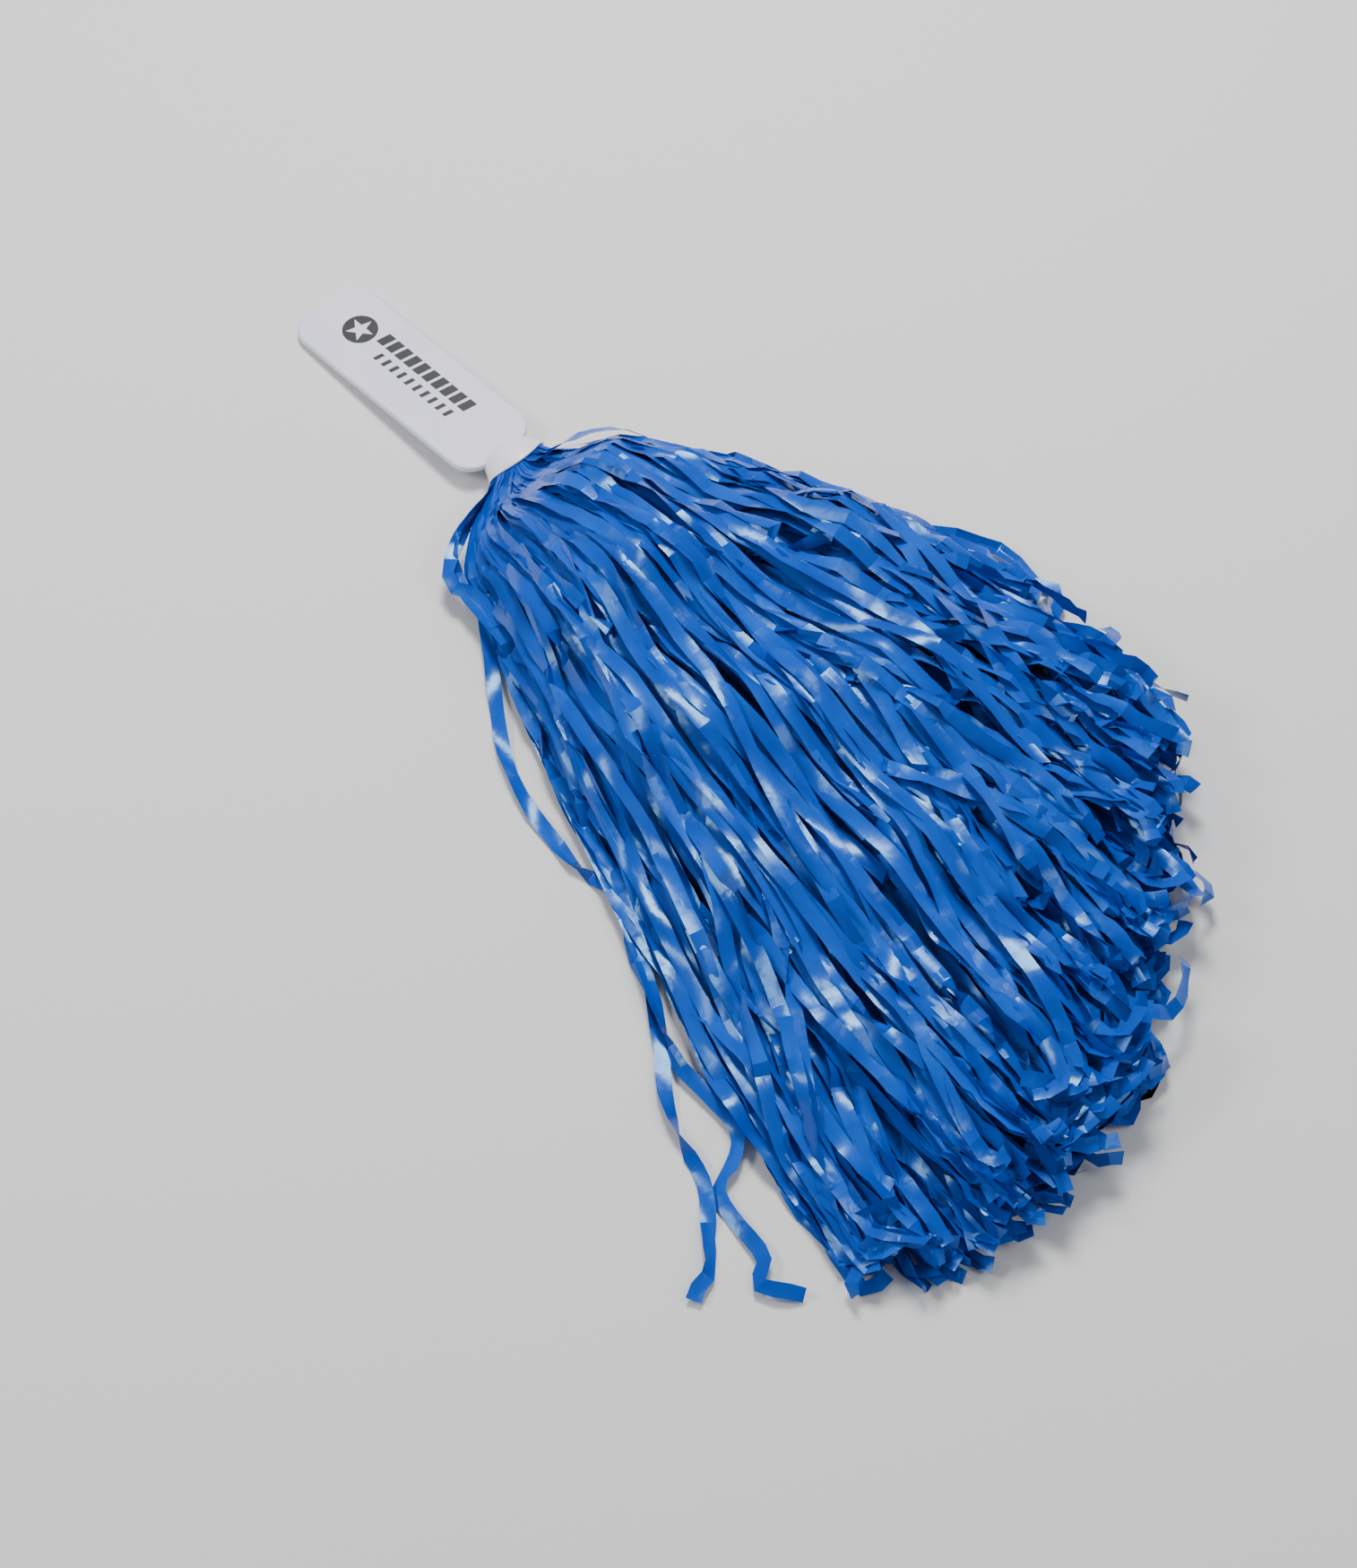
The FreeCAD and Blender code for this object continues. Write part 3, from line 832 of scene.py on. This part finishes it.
# %% Streamers led along a guide
RIGHT_EDGE = [(3, -14, 9), (10, -26, 8), (26, -44, 5)]
STRAY_BESIDE = [
    *RIGHT_EDGE, (60, -69, 3), (79, -83, 2), (97, -95, 2), (120, -104, 2), (142, -108, 2), (158, -109, 2),
    (176, -106, 3), (205, -108, 4),
]
STRAY_NEAR = [
    *RIGHT_EDGE, (70, -68, 4), (120, -88, 4), (160, -99, 4), (180, -107, 3), (195, -119, 3), (216, -130, 2),
    (232, -139, 2), (246, -151, 3), (265, -161, 3), (284, -167, 2), (301, -181, 2), (311, -190, 3),
    (312, -196, 3), (317, -206, 2),
]
STRAY_FAR = [
    *RIGHT_EDGE, (70, -66, 5), (130, -92, 6), (190, -115, 6), (238, -139, 4), (258, -141, 3), (276, -143, 3),
    (285, -153, 3), (289, -165, 2), (301, -169, 2), (320, -172, 3), (326, -181, 4), (333, -178, 4),
    (341, -172, 3), (350, -173, 2),
]
FOLDED_END = [
    *RIGHT_EDGE, (70, -66, 6), (140, -95, 7), (200, -112, 7), (262, -128, 7), (322, -145, 6), (340, -152, 6),
    (347, -147, 8), (351, -159, 7), (362, -160, 5), (372, -157, 3),
]
RIGHT_LOOP_OUTER = [
    (2, -14, 9), (6, -24, 11), (9, -33, 12), (15, -46, 13), (23, -58, 12), (31, -60, 11), (39, -56, 11),
    (58, -62, 13),
]
RIGHT_LOOP_INNER = [
    (2, -13, 10), (6, -24, 12), (11, -36, 14), (17, -50, 12), (30, -57, 9), (48, -60, 10), (66, -64, 14),
]
LEFT_LOOP_UPPER = [
    (3, 3, 15), (7, 3, 17), (12, 4, 22), (17, 7, 31), (23, 13, 38), (30, 21, 42), (38, 29, 41), (48, 35, 36),
    (62, 42, 31),
]
LEFT_LOOP_LOWER = [(3, 7, 14), (8, 10, 16), (17, 19, 21), (30, 30, 27), (45, 39, 30), (62, 50, 29)]
GUIDED = {
    # (layer, sector): the side and level that each streamer keeps when its guide has ended, and the guide
    (0, 0): [
        (-0.98, 0.10, STRAY_BESIDE),
        (-0.99, 0.12, STRAY_NEAR),
        (-0.96, 0.14, STRAY_FAR),
        (-0.97, 0.20, FOLDED_END),
    ],
    (1, 0): [(-0.90, 0.45, RIGHT_LOOP_OUTER), (-0.80, 0.50, RIGHT_LOOP_INNER)],
    (2, 3): [(0.80, 0.90, LEFT_LOOP_UPPER), (0.90, 0.80, LEFT_LOOP_LOWER)],
}
print("guided streamers", sum(len(guided) for guided in GUIDED.values()))

# %% [markdown]
# The pile is filled from the ground up in three layers of four sheets, as the imported model has it. Within a
# layer the streamers are shared out over the fan, more of them where the pile is high. Each streamer is cut
# just past the flex point: its short neck belongs to one piece that takes the throat's place, and the long
# rest belongs to its sheet's piece.

# %% Lay all the streamers
LAYERS = 3
SECTORS = 4
SEED = 16
NECK_END = 18.0
distances = np.concatenate([[0], np.cumsum(STEPS)])


def sides_in_layer(rng):
    """Where a layer's streamers lie across the fan, sorted from right to left."""
    wanted = SECTORS * STREAMERS_PER_SHEET
    found = []
    while len(found) < wanted:
        side = rng.uniform(-1, 1)
        if rng.uniform() < 0.35 + 0.65 * crown(abs(side)):
            found.append(side)
    return sorted(found)


def lay_sheets():
    """Every streamer's strip, cut in two: the necks in one list, the rests in one list to a sheet."""
    rng = np.random.default_rng(SEED)
    necks = []
    sheets = []
    for layer in range(LAYERS):
        sides = sides_in_layer(rng)
        for sector in range(SECTORS):
            guided = GUIDED.get((layer, sector), [])
            first = sector * STREAMERS_PER_SHEET
            ordinary = sides[first + len(guided):first + STREAMERS_PER_SHEET]
            paths = list(guided)
            paths += [(side, (layer + rng.uniform(0.02, 0.98)) / LAYERS, None) for side in ordinary]
            strips = []
            for side, level, guide in paths:
                points, root_side = walk(rng, side, level, guide)
                corners = strip(rng, points, root_side)
                cut = int(np.argmax(points[:, 0] > NECK_END))
                necks.append((corners[:cut + 1], distances[:cut + 1]))
                strips.append((corners[cut:], distances[cut:len(corners)]))
            sheets.append(strips)
    return necks, sheets


neck_strips, sheet_strips = lay_sheets()
print("sheets", len(sheet_strips), "streamers", len(neck_strips))

# %% [markdown]
# One piece holds all the necks, and it takes the place of the imported throat. Each of the twelve other
# pieces holds one sheet's streamers from just after the cut, and takes the place of that sheet's imported
# streamers.

# %% Make the pieces in place of the imported throat and streamers
neck = strips_to_piece("streamer_necks", neck_strips)
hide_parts("bundle_throat")
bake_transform(neck)
for name, strips in zip(sheet_names, sheet_strips):
    piece = strips_to_piece(f"{name}_film", strips)
    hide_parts(f"{name}_streamers")
    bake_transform(piece)

# %% [markdown]
# A plain pale floor, a soft light opposite the camera, whose reflection the film throws back in patches, a
# weaker one on each side, and an even pale world.

# %% Floor, lights and camera
FLOOR_SIZE = 12
# The floor lies a hair below the object, so that the two never share a surface.
FLOOR_DROP = 0.0002
deselect()
bpy.ops.mesh.primitive_plane_add(size=FLOOR_SIZE, location=(0, 0, -FLOOR_DROP))
floor = bpy.context.object
floor.name = "floor"
paper, paper_shader = new_material("matt_paper_floor", Roughness=0.9)
paper_shader.inputs["Base Color"].default_value = srgb("#E3E3E1")
floor.data.materials.append(paper)

WORLD_STRENGTH = 0.40
world = bpy.data.worlds.new("soft_room")
bpy.context.scene.world = world
world.use_nodes = True
background = world.node_tree.nodes["Background"]
background.inputs["Color"].default_value = srgb("#E9EDF2")
background.inputs["Strength"].default_value = WORLD_STRENGTH

# The camera and the lights all face this point on the ground, in metres from the collar's mouth.
TARGET_FROM_MOUTH = (0.1522, -0.0544)
CAMERA_AZIMUTH = math.radians(46.4)
CAMERA_ELEVATION = math.radians(57.8)
CAMERA_DISTANCE = 1.5196
CAMERA_LENS = 90
target = Vector((mouth.x + TARGET_FROM_MOUTH[0], mouth.y + TARGET_FROM_MOUTH[1], 0.0))


def direction(azimuth, elevation):
    """From the object towards a viewer or a light."""
    return Vector((
        math.sin(azimuth) * math.cos(elevation),
        -math.cos(azimuth) * math.cos(elevation),
        math.sin(elevation),
    ))


def add_softbox(name, azimuth, elevation, distance, size, power):
    """A rectangular light that faces the target: angles in degrees, metres, watts."""
    light = bpy.data.lights.new(name, "AREA")
    light.shape = "RECTANGLE"
    light.size, light.size_y = size
    light.energy = power
    lamp = bpy.data.objects.new(name, light)
    back = direction(math.radians(azimuth), math.radians(elevation))
    lamp.location = target + back * distance
    lamp.rotation_mode = "QUATERNION"
    lamp.rotation_quaternion = back.to_track_quat("Z", "Y")
    bpy.context.collection.objects.link(lamp)


add_softbox("softbox_opposite", azimuth=226, elevation=58, distance=1.5, size=(0.42, 0.42), power=23)
add_softbox("softbox_left", azimuth=320, elevation=45, distance=1.6, size=(0.5, 0.35), power=9)
add_softbox("softbox_right", azimuth=120, elevation=50, distance=1.8, size=(0.6, 0.6), power=6)

camera_data = bpy.data.cameras.new("camera")
camera_data.lens = CAMERA_LENS
camera = bpy.data.objects.new("camera", camera_data)
bpy.context.collection.objects.link(camera)
to_camera = direction(CAMERA_AZIMUTH, CAMERA_ELEVATION)
camera.location = target + to_camera * CAMERA_DISTANCE
camera.rotation_mode = "QUATERNION"
camera.rotation_quaternion = (-to_camera).to_track_quat("-Z", "Y")
bpy.context.scene.camera = camera
print("camera at", [round(value, 3) for value in camera.location])
